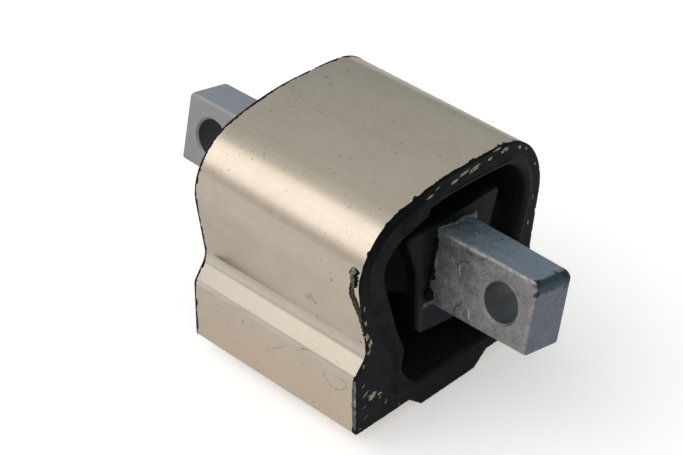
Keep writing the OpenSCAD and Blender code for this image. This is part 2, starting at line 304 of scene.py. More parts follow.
def cut(piece, cutters):
    for cutter in cutters:
        mod = piece.modifiers.new("cut", "BOOLEAN")
        mod.operation, mod.solver, mod.object = "DIFFERENCE", "EXACT", cutter
    bpy.context.view_layer.update()
    applied(piece, 24)
    for cutter in cutters:
        bpy.data.objects.remove(cutter)


def revolve(name, profile, matrix, steps):
    """Closed solid of revolution about its own Z, from [radius, height] pairs that start and end on the axis."""
    bm = bmesh.new()
    turns = [2 * math.pi * i / steps for i in range(steps)]
    rings = []
    for r, z in profile:
        if r == 0:
            rings.append([bm.verts.new((0, 0, z * MM))] * steps)
        else:
            rings.append([bm.verts.new((r * MM * math.cos(t), r * MM * math.sin(t), z * MM)) for t in turns])
    for a, b in zip(rings, rings[1:]):
        for i in range(steps):
            j = (i + 1) % steps
            # a vertex on the axis counts once
            bm.faces.new(list(dict.fromkeys((a[i], a[j], b[j], b[i]))))
    bmesh.ops.transform(bm, matrix=matrix, verts=bm.verts)
    return finished(bm, name)


# Materials
class Nodes:
    """Short way to write the node tree of a material or of the world."""

    def __init__(self, name, world=False):
        self.owner = (bpy.data.worlds if world else bpy.data.materials).new(name)
        self.owner.use_nodes = True
        self.tree = self.owner.node_tree
        self.tree.nodes.clear()
        self.place = self.add("ShaderNodeTexCoord")
        self.coords = self.place.outputs["Object"]

    def add(self, kind, inputs=None, **settings):
        node = self.tree.nodes.new(kind)
        for key, value in settings.items():
            setattr(node, key, value)
        for key, value in (inputs or {}).items():
            socket = node.inputs[key]
            if isinstance(value, bpy.types.NodeSocket):
                self.tree.links.new(value, socket)
            else:
                socket.default_value = value
        return node

    def stretched(self, scale):
        return self.add("ShaderNodeMapping", {"Vector": self.coords, "Scale": scale}).outputs[0]

    def noise(self, scale, detail=3.0, rough=0.5, vector=None, distortion=0.0):
        return self.add("ShaderNodeTexNoise", {
            "Vector": vector or self.coords, "Scale": scale, "Detail": detail,
            "Roughness": rough, "Distortion": distortion}).outputs["Fac"]

    def ramp(self, value, low, high, to_low=0.0, to_high=1.0):
        return self.add("ShaderNodeMapRange", {
            "Value": value, "From Min": low, "From Max": high, "To Min": to_low, "To Max": to_high},
            clamp=True).outputs[0]

    def math(self, kind, a, b=0.0, clamp=False):
        node = self.add("ShaderNodeMath", {0: a, 1: b}, operation=kind)
        node.use_clamp = clamp
        return node.outputs[0]

    def times(self, a, b):
        return self.math("MULTIPLY", a, b)

    def uneven(self, value, field, reach):
        """Value moved by up to reach either way, as the noise field goes."""
        return self.math("ADD", value, self.ramp(field, 0.3, 0.7, -reach, reach))

    def mix(self, factor, a, b):
        node = self.add("ShaderNodeMix", {0: factor}, data_type="RGBA")
        for index, value in ((6, a), (7, b)):
            if isinstance(value, bpy.types.NodeSocket):
                self.tree.links.new(value, node.inputs[index])
            else:
                node.inputs[index].default_value = (*value, 1)
        return node.outputs[2]

    def vector(self, kind, a, b=(0, 0, 0)):
        node = self.add("ShaderNodeVectorMath", {0: a, 1: b}, operation=kind)
        return node.outputs["Value" if kind in ("DOT_PRODUCT", "DISTANCE", "LENGTH") else "Vector"]

    def leaning(self):
        """Coordinates in the core's leaning frame."""
        return self.add("ShaderNodeMapping", {
            "Vector": self.coords, "Location": (0, CORE_Y * MM, (CORE_Z + KEEL_H) * MM),
            "Rotation": (-LEAN, 0, 0)}, vector_type="TEXTURE").outputs[0]

    def strokes(self, coords, plane, lines, ragged):
        """Mask of scratches and specks (u0, v0, u1, v1, width, strength) in mm, in the plane of two axes."""
        # half a size reaches to the stroke's border, and a little more to the end of its soft rim
        total, soft = None, 0.6 * MM
        for u0, v0, u1, v1, width, strength in lines:
            length = math.hypot(u1 - u0, v1 - v0) + width
            angle = math.atan2(v1 - v0, u1 - u0)
            place, turn, size = [0.0] * 3, [0.0] * 3, [1e3] * 3
            place[plane[0]], place[plane[1]] = (u0 + u1) / 2 * MM, (v0 + v1) / 2 * MM
            turn[3 - plane[0] - plane[1]] = -angle if plane == (0, 2) else angle
            size[plane[0]], size[plane[1]] = length * soft, width * soft
            at = self.add("ShaderNodeMapping", {"Vector": coords, "Location": place, "Rotation": turn,
                                                "Scale": size}, vector_type="TEXTURE").outputs[0]
            mask = self.ramp(self.math("ADD", self.vector("LENGTH", at), ragged), 1.0, 0.55, 0.0, strength)
            total = mask if total is None else self.math("MAXIMUM", total, mask)
        return total

    def split(self, vector=None):
        return self.add("ShaderNodeSeparateXYZ", {0: vector or self.coords}).outputs

    def bump(self, height, strength, distance, normal=None):
        inputs = {"Height": height, "Strength": strength, "Distance": distance}
        if normal:
            inputs["Normal"] = normal
        return self.add("ShaderNodeBump", inputs).outputs[0]

    def done(self, **inputs):
        shader = self.add("ShaderNodeBsdfPrincipled")
        for key, value in inputs.items():
            socket = shader.inputs[key.replace("_", " ")]
            if isinstance(value, bpy.types.NodeSocket):
                self.tree.links.new(value, socket)
            else:
                socket.default_value = value
        out = self.add("ShaderNodeOutputMaterial")
        self.tree.links.new(shader.outputs[0], out.inputs[0])
        return self.owner


def make_housing_metal():
    n = Nodes("champagne aluminium")
    # die lines run along the extrusion
    fine = n.noise(1.0, 4.0, 0.6, n.stretched((18, 5200, 5200)))
    broad = n.noise(1.0, 3.0, 0.55, n.stretched((9, 700, 700)))
    cloud = n.noise(95.0, 5.0, 0.6)
    small = n.noise(420.0, 4.0, 0.65)
    x, y, z = n.split()
    colour = n.mix(n.ramp(cloud, 0.36, 0.66), (0.500, 0.438, 0.362), (0.530, 0.469, 0.392))
    colour = n.mix(n.ramp(broad, 0.45, 0.72, 0.0, 0.18), colour, (0.43, 0.365, 0.29))
    # pinker towards the table
    colour = n.mix(n.ramp(z, 0.021, 0.008, 0.0, 0.55), colour, (0.56, 0.44, 0.345))
    smudge = n.ramp(n.noise(60.0, 6.0, 0.7, distortion=0.6), 0.6, 0.74, 0.0, 0.35)
    colour = n.mix(smudge, colour, (0.36, 0.31, 0.25))
    # marks on the left side, as (x, height) from and to, width, strength
    loop = ((18.7, 15.4), (19.4, 13.8), (20.8, 12.7), (22.6, 11.7), (25.2, 12.9), (27.3, 14.8), (26.6, 16.3),
            (24.1, 16.2))
    scratch = ((-4.6, 8.6), (0.8, 12.7), (6.2, 17.0))
    side_marks = [
        (-26.5, 27.4, -25.6, 27.2, 0.3, 0.4), (-25.0, 27.1, -23.6, 27.0, 0.3, 0.4),
        (-24.0, 27.7, -22.4, 27.7, 0.25, 0.3), (9.3, 32.9, 10.3, 32.4, 0.9, 0.4),
        (11.3, 35.2, 11.8, 33.8, 0.5, 0.45), (11.8, 33.0, 12.9, 32.5, 1.0, 0.45),
        (10.4, 33.8, 11.6, 33.4, 1.5, 0.3), (12.4, 27.7, 12.5, 27.7, 0.7, 0.4), (20.1, 44.7, 20.2, 44.7, 0.8, 0.6),
        (28.3, 28.0, 28.4, 28.0, 0.6, 0.8), (-11.3, 15.4, -11.3, 14.3, 0.5, 0.8),
        (-16.8, 12.0, -16.7, 12.0, 0.5, 0.4), (10.3, 18.2, 12.5, 18.8, 0.45, 0.7),
        (-25.2, 17.6, -20.0, 19.0, 1.3, 0.22), (-16.6, 18.2, -8.0, 19.3, 1.4, 0.25),
        (-14.2, 61.7, -13.9, 61.7, 0.4, 0.5), (-16.1, 60.4, -15.8, 60.4, 0.35, 0.5)]
    for k in range(4):
        dot = (0.1 + 1.15 * k, 12.6 + 0.72 * k)
        side_marks.append((*dot, dot[0] + 0.05, dot[1], 0.45, 0.65))
    for points, width, strength in ((loop, 0.35, 0.45), (scratch, 0.25, 0.3)):
        side_marks += [(*p, *q, width, strength) for p, q in zip(points, points[1:])]
    side_marks = [(u0, v0 + KEEL_H, u1, v1 + KEEL_H, *rest) for u0, v0, u1, v1, *rest in side_marks]
    # marks on the crown, as (x, y) from and to
    top_marks = [(-24.8, 9.0, -24.2, 9.6, 0.7, 0.6), (-23.5, 16.0, -22.9, 16.4, 0.7, 0.55),
                 (-14.0, -4.0, -12.6, -4.2, 0.5, 0.3), (3.0, 6.0, 4.0, 5.5, 0.5, 0.3),
                 (22.0, 3.0, 23.2, 2.6, 0.5, 0.3), (-6.0, 12.5, -4.8, 12.7, 0.4, 0.25)]
    ragged = n.ramp(n.noise(2200.0, 2.0, 0.6), 0.2, 0.8, -0.7, 0.7)
    marks = [n.times(on, n.strokes(n.coords, plane, lines, ragged)) for on, plane, lines in (
        (n.math("LESS_THAN", y, 0.0), (0, 2), side_marks), (n.math("GREATER_THAN", z, 0.06), (0, 1), top_marks))]
    colour = n.mix(n.math("MAXIMUM", *marks), colour, (0.13, 0.12, 0.11))
    colour = n.mix(n.ramp(n.noise(900.0, 2.0, 0.5), 0.66, 0.74, 0.0, 0.5), colour, (0.24, 0.21, 0.18))
    # painted highlight: the flare between foot and waist is brighter, most of all towards the far end
    flare_highlight = n.times(n.ramp(z, 0.0215, 0.0235), n.ramp(z, 0.0300, 0.0275))
    flare_highlight = n.times(flare_highlight, n.ramp(x, -0.030, 0.020, 0.9, 0.35))
    colour = n.mix(flare_highlight, colour, (0.60, 0.56, 0.49))
    rough = n.math("ADD", n.ramp(small, 0.3, 0.7, 0.19, 0.25), n.ramp(smudge, 0.0, 0.35, 0.0, 0.06))
    normal = n.bump(fine, 0.16, 0.00002)
    normal = n.bump(broad, 0.05, 0.00006, normal)
    return n.done(Base_Color=colour, Metallic=1.0, Roughness=rough, Specular_Tint=(0.62, 0.62, 0.62, 1),
                  Normal=normal)


def arc_lines(x, z, r, a0, a1, width, strength):
    """Chords of an arc in the X-Z plane, as strokes."""
    n = max(2, round(abs(a1 - a0) / 36))
    turns = [math.radians(a0 + (a1 - a0) * i / n) for i in range(n + 1)]
    at = [(x + r * math.cos(t), z + r * math.sin(t)) for t in turns]
    return [(*p, *q, width, strength) for p, q in zip(at, at[1:])]


def make_cast_metal(name, marked_face):
    """Cast metal of the bar: with the marks of the near wide face, or with those of the other faces."""
    n = Nodes(name)
    grain = n.noise(2600.0, 3.0, 0.65)
    pebble = n.noise(1300.0, 3.0, 0.6)
    mottle = n.noise(420.0, 5.0, 0.65)
    cloud = n.noise(90.0, 4.0, 0.55)
    local = n.leaning()
    x, _, z = n.split(local)
    reach = n.math("ABSOLUTE", x)
    facing, ending = (n.math("ABSOLUTE", n.vector("DOT_PRODUCT", n.place.outputs["Normal"], way))
                      for way in ((0, math.cos(LEAN), -math.sin(LEAN)), (1, 0, 0)))
    lit_wide_faces = n.ramp(n.uneven(facing, mottle, 0.12), 0.6, 0.85)
    # painted light by the way a face looks: wide faces lighter, top and bottom bluish, ends darker as painted shade
    lit_face_colour = n.mix(n.ramp(mottle, 0.36, 0.64), (0.185, 0.185, 0.184), (0.305, 0.302, 0.295))
    sky_lit_colour = n.mix(n.ramp(mottle, 0.34, 0.68), (0.172, 0.224, 0.290), (0.232, 0.288, 0.362))
    end_shade_colour = n.mix(n.ramp(mottle, 0.34, 0.68), (0.112, 0.125, 0.156), (0.172, 0.188, 0.232))
    colour = n.mix(lit_wide_faces, n.mix(n.ramp(ending, 0.6, 0.85), sky_lit_colour, end_shade_colour), lit_face_colour)
    colour = n.mix(n.times(lit_wide_faces, n.ramp(cloud, 0.48, 0.7, 0.0, 0.35)), colour, (0.35, 0.34, 0.33))
    # speckle of the casting
    colour = n.mix(n.ramp(grain, 0.52, 0.68, 0.0, 0.55), colour, (0.095, 0.10, 0.105))
    colour = n.mix(n.ramp(grain, 0.46, 0.32, 0.0, 0.45), colour, (0.45, 0.46, 0.47))
    # darker towards the rubber, and inside the cross holes
    root = n.ramp(n.uneven(reach, mottle, 0.004), 0.045, 0.030, 0.0, 0.6)
    # near the root the colour also differs by the way a face looks, as painted light
    colour = n.mix(root, colour, n.mix(lit_wide_faces, (0.070, 0.110, 0.132), (0.095, 0.112, 0.120)))
    flat = n.add("ShaderNodeCombineXYZ", {0: reach, 1: 0.0, 2: z}).outputs[0]
    bore = n.vector("DISTANCE", flat, (BOLT_PITCH / 2 * MM, 0, 0))
    r = BOLT_D / 2 * MM
    inside = n.ramp(bore, r + 0.0001, r - 0.00005)
    colour = n.mix(n.times(inside, 0.95), colour, (0.078, 0.077, 0.062))
    ring_mark = n.times(n.ramp(bore, r + 0.0010, r + 0.0007), n.math("SUBTRACT", 1.0, inside))
    colour = n.mix(n.times(ring_mark, 0.35), colour, (0.30, 0.30, 0.315))
    # the far end is cleaner
    far = n.ramp(x, -0.030, -0.034)
    clean = n.mix(n.ramp(grain, 0.4, 0.6), (0.27, 0.272, 0.276), (0.39, 0.392, 0.396))
    # on the far tang the faces other than the wide ones also get a bluish colour of their own, as painted light
    clean = n.mix(lit_wide_faces, (0.388, 0.382, 0.413), clean)
    colour = n.mix(n.times(far, n.math("SUBTRACT", 0.6, inside, clamp=True)), colour, clean)
    colour = n.mix(n.times(n.times(far, inside), 0.6), colour, (0.17, 0.165, 0.17))
    # dark patch over the near tip's upper corner, and a blot at its left end
    tip = TIP_X * MM
    patch = n.times(n.ramp(n.uneven(x, mottle, 0.0004), tip - 0.0020, tip - 0.0013),
                    n.ramp(n.uneven(z, mottle, 0.0010), 0.0068, 0.0076))
    patch = n.times(patch, n.math("SUBTRACT", 1.0, lit_wide_faces, clamp=True))
    colour = n.mix(patch, colour, (0.040, 0.068, 0.082))
    blot = n.uneven(n.vector("DISTANCE", local, (tip, -0.0064, 0.0072)), mottle, 0.0004)
    colour = n.mix(n.ramp(blot, 0.0013, 0.0006, 0.0, 0.9), colour, (0.012, 0.018, 0.024))
    if marked_face:
        # marks on the near wide face, as (x, z) in the leaning frame
        plane = (0, 2)
        stain = [(41.2, 3.4, 41.2, 3.4, 6.4, 0.35), (42.3, -8.6, 42.4, -8.8, 5.4, 0.3),
                 (34.0, 6.0, 40.0, 7.6, 3.4, 0.4), (33.0, -4.0, 33.4, -9.0, 3.0, 0.35),
                 (40.0, 7.8, 47.0, 7.8, 1.6, 0.35)]
        worn = [(34.0, 9.9, 48.0, 10.0, 0.8, 0.75), (44.0, 10.1, 66.0, 10.2, 0.7, 0.75),
                (57.0, -9.6, 62.0, -10.0, 0.5, 0.6)]
        dark = [*arc_lines(41.2, 3.4, 2.9, 85, 215, 0.45, 0.6), *arc_lines(42.3, -8.6, 2.7, 110, 235, 0.6, 0.65),
                (40.4, 9.0, 42.0, 8.7, 1.0, 0.7), (43.8, 8.9, 45.6, 8.8, 0.5, 0.6), (62.0, 9.2, 63.2, 9.2, 1.1, 0.6)]
        light = [*arc_lines(41.2, 3.4, 2.4, 155, 225, 0.4, 0.7), (44.2, -6.6, 44.8, -8.8, 0.45, 0.9),
                 (42.0, -7.2, 42.2, -9.2, 0.35, 0.5), (37.6, 3.6, 38.6, 1.6, 0.35, 0.45),
                 (31.0, 3.8, 31.6, 0.2, 0.7, 0.5)]
        broken = n.ramp(n.noise(620.0, 4.0, 0.7), 0.38, 0.52)
        layers = ((stain, None, (0.085, 0.085, 0.085)), (worn, broken, (0.47, 0.45, 0.42)),
                  (dark, None, (0.035, 0.038, 0.042)), (light, None, (0.58, 0.57, 0.56)))
    else:
        # marks on the near top face, as (x, y) in the leaning frame
        plane = (0, 1)
        upper = n.math("GREATER_THAN", z, 0.006)
        above = [(46.0, -2.8, 54.6, -3.5, 0.4, 0.6), (36.4, 0.4, 38.4, -0.6, 0.35, 0.5),
                 (38.4, -0.4, 40.4, -1.6, 0.3, 0.5), (36.0, -2.6, 39.0, -3.6, 0.4, 0.4),
                 (33.2, 4.6, 36.4, 3.2, 0.8, 0.3), (31.4, -5.6, 33.4, -4.2, 0.9, 0.6),
                 (31.2, 3.0, 32.6, 5.2, 0.8, 0.5), (32.6, -1.0, 34.2, -2.6, 0.4, 0.4),
                 (34.4, 1.8, 37.8, 2.6, 0.3, 0.4)]
        spots = [(42.5, 3.7, 42.9, 3.6, 0.8, 0.8), (61.9, -5.9, 62.4, -5.6, 1.4, 0.9),
                 (62.6, 4.2, 63.2, 4.9, 1.2, 0.9), (61.6, 5.6, 62.6, 5.8, 1.1, 0.9),
                 (61.0, 2.4, 61.9, 2.2, 0.9, 0.8), (36.6, 1.2, 37.4, 0.8, 0.6, 0.5)]
        layers = ((above, upper, (0.33, 0.40, 0.45)), (spots, upper, (0.02, 0.022, 0.025)))
    ragged = n.ramp(n.noise(2400.0, 3.0, 0.6), 0.2, 0.8, -0.6, 0.6)
    for lines, share, tone in layers:
        mask = n.strokes(local, plane, lines, ragged)
        colour = n.mix(mask if share is None else n.times(mask, share), colour, tone)
    normal = n.bump(grain, 0.6, 0.00012)
    normal = n.bump(pebble, 0.6, 0.00025, normal)
    normal = n.bump(mottle, 0.5, 0.0004, normal)
    return n.done(Base_Color=colour, Metallic=0.75, Roughness=n.ramp(mottle, 0.3, 0.7, 0.48, 0.62), Normal=normal)


def make_stained_metal():
    """Casting skin of the block, stained dark by the moulding."""
    n = Nodes("stained casting")
    mottle = n.noise(330.0, 5.0, 0.65)
    colour = n.mix(n.ramp(mottle, 0.34, 0.68), (0.045, 0.048, 0.060), (0.085, 0.088, 0.100))
    colour = n.mix(n.ramp(n.split()[2], 0.034, 0.024, 0.0, 0.7), colour, (0.024, 0.027, 0.045))
    normal = n.bump(mottle, 0.4, 0.0002)
    return n.done(Base_Color=colour, Metallic=0.5, Roughness=0.6, Specular_IOR_Level=0.3, Normal=normal)


def make_flake(name, grain, dark, pale, metallic=0.0):
    """Bare metal where the film has flaked off, or the inner side of torn film."""
    n = Nodes(name)
    colour = n.mix(n.ramp(n.noise(grain, 3.0, 0.6), 0.35, 0.65), dark, pale)
    return n.done(Base_Color=colour, Metallic=metallic, Roughness=0.55, Specular_IOR_Level=0.3)


def make_grey_flash(name, dark, pale):
    n = Nodes(name)
    colour = n.mix(n.ramp(n.noise(1300.0, 4.0, 0.6), 0.38, 0.6), dark, pale)
    colour = n.mix(n.ramp(n.noise(2600.0, 2.0, 0.5), 0.6, 0.68, 0.0, 0.8), colour, (0.5, 0.5, 0.48))
    return n.done(Base_Color=colour, Roughness=0.5, Specular_IOR_Level=0.4)


def make_rubber(name, dark, pale, level, low_lit_share=1.0):
    """Moulded rubber. Low on the part its colour and its shine fall to the last argument's share of what they are on
    top, as painted shade.
    """
    n = Nodes(name)
    grain = n.noise(1800.0, 3.0, 0.6)
    cloud = n.noise(140.0, 5.0, 0.65)
    smear = n.noise(520.0, 4.0, 0.7, distortion=0.8)
    _, y, z = n.split()
    # painted shade: darker and less shiny low on the part, less so at the lower left corner
    height = n.ramp(n.uneven(z, cloud, 0.006), 0.012, 0.056)
    corner = n.times(n.ramp(y, -0.010, -0.020), n.ramp(z, 0.030, 0.018))
    share = n.ramp(n.math("MAXIMUM", height, n.times(corner, 0.6)), 0.0, 1.0, low_lit_share, 1.0)
    colour = n.mix(n.ramp(n.uneven(cloud, smear, 0.14), 0.33, 0.70), dark, pale)
    colour = n.mix(n.math("SUBTRACT", 1.0, share), colour, (0.0, 0.0, 0.0))
    normal = n.bump(grain, 0.25, 0.00006)
    normal = n.bump(cloud, 0.35, 0.0004, normal)
    return n.done(Base_Color=colour, Roughness=n.ramp(cloud, 0.3, 0.7, 0.56, 0.70),
                  Specular_IOR_Level=n.times(share, level) if low_lit_share < 1 else level, Normal=normal)


def make_film():
    n = Nodes("rubber film")
    grain = n.noise(900.0, 4.0, 0.65)
    cloud = n.noise(170.0, 5.0, 0.65)
    colour = n.mix(n.ramp(cloud, 0.38, 0.64), (0.0012, 0.0022, 0.0024), (0.0090, 0.0120, 0.0150))
    _, y, z = n.split()
    shade = n.math("MAXIMUM", n.ramp(y, -0.024, -0.010, 0.0, 0.9), n.ramp(z, 0.036, 0.056, 0.0, 0.9))
    colour = n.mix(shade, colour, (0.0010, 0.0015, 0.0014))
    dust = n.ramp(n.noise(1500.0, 3.0, 0.6), 0.70, 0.78, 0.0, 0.4)
    colour = n.mix(dust, colour, (0.06, 0.062, 0.06))
    low = n.times(n.ramp(z, 0.034, 0.020), n.ramp(y, -0.012, -0.024, 0.15, 1.0))
    scuff = n.ramp(n.noise(2100.0, 4.0, 0.7), 0.60, 0.70, 0.0, 0.6)
    colour = n.mix(n.times(low, scuff), colour, (0.12, 0.125, 0.135))
    normal = n.bump(grain, 0.4, 0.00015)
    normal = n.bump(cloud, 0.3, 0.0003, normal)
    return n.done(Base_Color=colour, Roughness=n.ramp(cloud, 0.3, 0.7, 0.42, 0.56),
                  Specular_IOR_Level=0.08, Normal=normal)


def make_block_film():
    """Film on the block's ends, so thin over its upper right horn and lower left corner that grey shows through. It
    has painted shade at the top, painted light towards the left and a painted highlight along its left edge.
    """
    n = Nodes("block film")
    cloud = n.noise(260.0, 4.0, 0.6)
    _, y, z = n.split()
    colour = n.mix(n.ramp(cloud, 0.35, 0.7), (0.0046, 0.0056, 0.0058), (0.0092, 0.0104, 0.0106))
    # painted shade: darker towards the top
    colour = n.mix(n.ramp(z, 0.040, 0.050, 0.0, 0.6), colour, (0.0012, 0.0016, 0.0016))
    # painted light: lighter towards the left
    colour = n.mix(n.ramp(y, -0.004, -0.009, 0.0, 0.7), colour, (0.0105, 0.0120, 0.0118))
    soft = 0.0012
    horn = n.times(n.ramp(n.uneven(y, cloud, soft), 0.0070, 0.0125), n.ramp(z, 0.036, 0.043))
    colour = n.mix(horn, colour, (0.0098, 0.0122, 0.0132))
    corner = n.times(n.ramp(n.uneven(z, cloud, soft), 0.0335, 0.0300), n.ramp(y, 0.0, -0.004, 0.4, 1.0))
    colour = n.mix(corner, colour, (0.0100, 0.0115, 0.0165))
    # painted highlight along the block's left edge
    rim = n.ramp(n.uneven(y, cloud, soft), -0.0102, -0.0114, 0.0, 0.8)
    colour = n.mix(rim, colour, (0.023, 0.025, 0.026))
    normal = n.bump(cloud, 0.4, 0.0004)
    return n.done(Base_Color=colour, Roughness=0.55, Specular_IOR_Level=0.08, Normal=normal)


def make_foot_film():
    """Peeled film over the foot's edge: grey blue, scuffed pale along its borders."""
    n = Nodes("peeled film")
    colour = n.mix(n.ramp(n.noise(700.0, 4.0, 0.6), 0.35, 0.65), (0.032, 0.033, 0.038), (0.095, 0.094, 0.090))
    # pale along both borders, broken by noise
    middle = 0.02962
    edge = n.ramp(n.math("ABSOLUTE", n.math("SUBTRACT", n.split()[0], middle)), 0.00018, 0.00034)
    edge = n.times(edge, n.ramp(n.noise(800.0, 3.0, 0.6), 0.46, 0.58))
    colour = n.mix(edge, colour, (0.26, 0.26, 0.24))
    return n.done(Base_Color=colour, Roughness=0.5, Specular_IOR_Level=0.3)


METAL, STAINED = make_housing_metal(), make_stained_metal()
CAST, CAST_FACE = make_cast_metal("cast aluminium", False), make_cast_metal("cast aluminium, marked face", True)
RUBBER = make_rubber("moulded rubber", (0.0040, 0.0055, 0.0066), (0.0180, 0.0215, 0.0235), 0.12, 0.4)
DEEP = make_rubber("rubber in the recess", (0.0080, 0.0098, 0.0092), (0.0160, 0.0185, 0.0175), 0.04)
# darker copy of the rubber: painted shade on the arms deep in the recess, also used for the lumps at the tang's root
SHADED = make_rubber("rubber of the arms, painted shade", (0.0032, 0.0039, 0.0038), (0.0066, 0.0078, 0.0076), 0.04)
FILM, BLOCK_FILM, FOOT_FILM = make_film(), make_block_film(), make_foot_film()
CHIP = make_flake("pale chips", 1600.0, (0.17, 0.18, 0.13), (0.56, 0.56, 0.45), 0.2)
# gold brown from the release agent
TORN = make_flake("torn flash", 900.0, (0.018, 0.013, 0.006), (0.085, 0.056, 0.024))
GREY = make_grey_flash("grey flash", (0.07, 0.075, 0.075), (0.21, 0.22, 0.215))
FRAYED = make_grey_flash("frayed flash", (0.035, 0.050, 0.062), (0.10, 0.13, 0.155))
CRUMPLED = make_grey_flash("crumpled flash", (0.012, 0.013, 0.009), (0.13, 0.135, 0.105))


def dressed(piece, material, slot, *nodes):
    piece.data.materials.clear()
    piece.data.materials.append(material)
    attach(piece, "root")
    if nodes:
        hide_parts(*nodes)
    return piece


# Housing
def make_housing():
    bm = bmesh.new()
    places, depths = rounded_end(HALF, 0.25)
    outside = prism(bm, OUTER, (places, depths), 3, caps=False)
    inside = prism(bm, CAVITY, (places, [-d for d in depths]), 5, caps=False)
    fill(bm, outside[0], inside[0])
    fill(bm, outside[-1], inside[-1])
    piece = finished(bm, "housing_extrusion", 24)
    # threaded holes, as plain ridges
    r, pitch, ridge = HOLE_D / 2, 1.5, 0.55
    profile = [(0, -1), (r + HOLE_CHAMFER + 1, -1), (r, HOLE_CHAMFER)]
    z = HOLE_CHAMFER + 0.8
    while z < HOLE_DEPTH - 3:
        profile += [(r, z), (r + ridge, z + pitch * 0.45), (r, z + pitch * 0.9)]
        z += pitch
    profile += [(r, HOLE_DEPTH), (0, HOLE_DEPTH + r * tan(31))]
    cut(piece, [revolve("hole", profile, Matrix.Translation((0, y * MM, KEEL_H * MM)), 48)
                for y in (-HOLE_PITCH / 2, HOLE_PITCH / 2)])
    dressed(piece, METAL, "housing_aluminium", "outer_housing")


# Rubber
def make_lining():
    bm = bmesh.new()
    end = HALF + LIP_H
    heights, depths = zip(*LIP_CURVE)
    outside = prism(bm, CAVITY, both_ends([HALF + h for h in heights], list(depths)), 6, caps=False)
    inside = prism(bm, OPENING, rounded_end(end, MOUTH_R, -1, 15), 6, caps=False)
    fill(bm, outside[0], inside[0])
    fill(bm, outside[-1], inside[-1])
    piece = dressed(finished(bm, "rubber_lining", 50), RUBBER, "black_rubber", "rubber_body")
    piece.data.materials.append(DEEP)
    for face in piece.data.polygons:
        if abs(face.center.x) * 1000 < end - MOUTH_R * 0.8:
            face.material_index = 1


def leaning(x, y, z):
    """World place, in mm above the feet, of a point in the core's leaning frame."""
    c, s = math.cos(LEAN), math.sin(LEAN)
    return x, CORE_Y + y * c + z * s, CORE_Z - y * s + z * c


def make_arms():
    """Arms and the skin round the block, run together by a voxel remesh so that their junctions are filleted."""
    bm = bmesh.new()
    prism(bm, BLOCK, ([-HALF + 0.4, HALF - 0.4], [-SKIN_T] * 2), 10)
    near_y, far_y, rows = BLOCK_W / 2 - 3, SHOULDER_SPAN / 2 - WALL_T - 1.2, 13
    for sign in (-1, 1):
        rings = []
        for t in (i / (rows - 1) for i in range(rows)):
            y, dish = near_y + (far_y - near_y) * t, 1.6 * math.sin(math.pi * t)
            hx, hz = HALF - ARM_SETBACK - dish, ARM_H / 2 - dish
            rings.append([vert(bm, *leaning(x, sign * y, z)) for x, z in soft_box((hx, hx), (hz, hz), 1.6, 5)])
        stack(bm, rings)
    piece = finished(bm, "rubber_arms")
    mod = piece.modifiers.new("melt", "REMESH")
    mod.mode, mod.voxel_size = "VOXEL", 0.00055
    mod = piece.modifiers.new("soften", "SMOOTH")
    mod.factor, mod.iterations = 0.5, 7
    applied(piece, 70)
    dressed(piece, SHADED, "black_rubber")


# Films and flash on the end faces
def make_film_piece(name, sign, short, wrap):
    """Film over one metal end face. short(s) is how far it stops inside the outer edge, wrap(p, s) how far
    it runs back over the outer surface, both in mm at the outline point p and the run s."""
    at, normal = resampled(outline(OUTER, 3), FILM_STEP)
    runs = np.arange(len(at)) * FILM_STEP
    gap = np.array([short(s) for s in runs])
    back = np.array([wrap(p, s) for p, s in zip(at, runs)])
    covered = back > 0
    window = np.array([np.roll(normal, k, axis=0) for k in range(-7, 8)]).mean(axis=0)
    calm = window / np.linalg.norm(window, axis=1)[:, None]
    bm = bmesh.new()
    face = HALF + FILM_T
    # place along X and distance inside the outline, from the face over the edge and back
    rows = [(np.full(len(at), face), np.where(covered, 0.35, gap + 0.5)),
            (np.where(covered, HALF + 0.2, HALF + FILM_T * 0.6), np.where(covered, 0.0, gap + 0.1)),
            (np.where(covered, HALF, HALF + 0.02), np.where(covered, -0.08, gap)),
            (np.where(covered, HALF - back, HALF - 0.1), np.where(covered, -0.07, gap + 0.05)),
            (np.where(covered, HALF - back - 0.06, HALF - 0.15), np.where(covered, 0.06, gap + 0.1))]
    loops = stack(bm, [ring(bm, sign * x, at - normal * d[:, None]) for x, d in rows], False)
    edge = at - calm * 1.1
    # the inner edge has one point at the angle of each outer one, so that the face is a strip of quads
    hole = outline(inset(CAVITY, 0.3), 2)
    turns, wanted = (np.arctan2(p[:, 1] - FILM_MID, p[:, 0]) for p in (hole, edge))
    order = np.argsort(turns)
    hole = np.column_stack([np.interp(wanted, turns[order], hole[order, k], period=2 * math.pi) for k in (0, 1)])
    stack(bm, [loops[0]] + [ring(bm, sign * x, p) for x, p in ((face, edge), (face, hole), (HALF - 0.12, hole))],
          False)
    dressed(finished(bm, name, 60), FILM, "black_rubber")


def wobble(s, scale, seed):
    return noise.noise(Vector((s * scale, seed * 7.3, 0.31)))


def near_short(s):
    return max(0.05, 0.12 + 0.12 * wobble(s, 0.9, 1) + 0.08 * wobble(s, 3.0, 2))


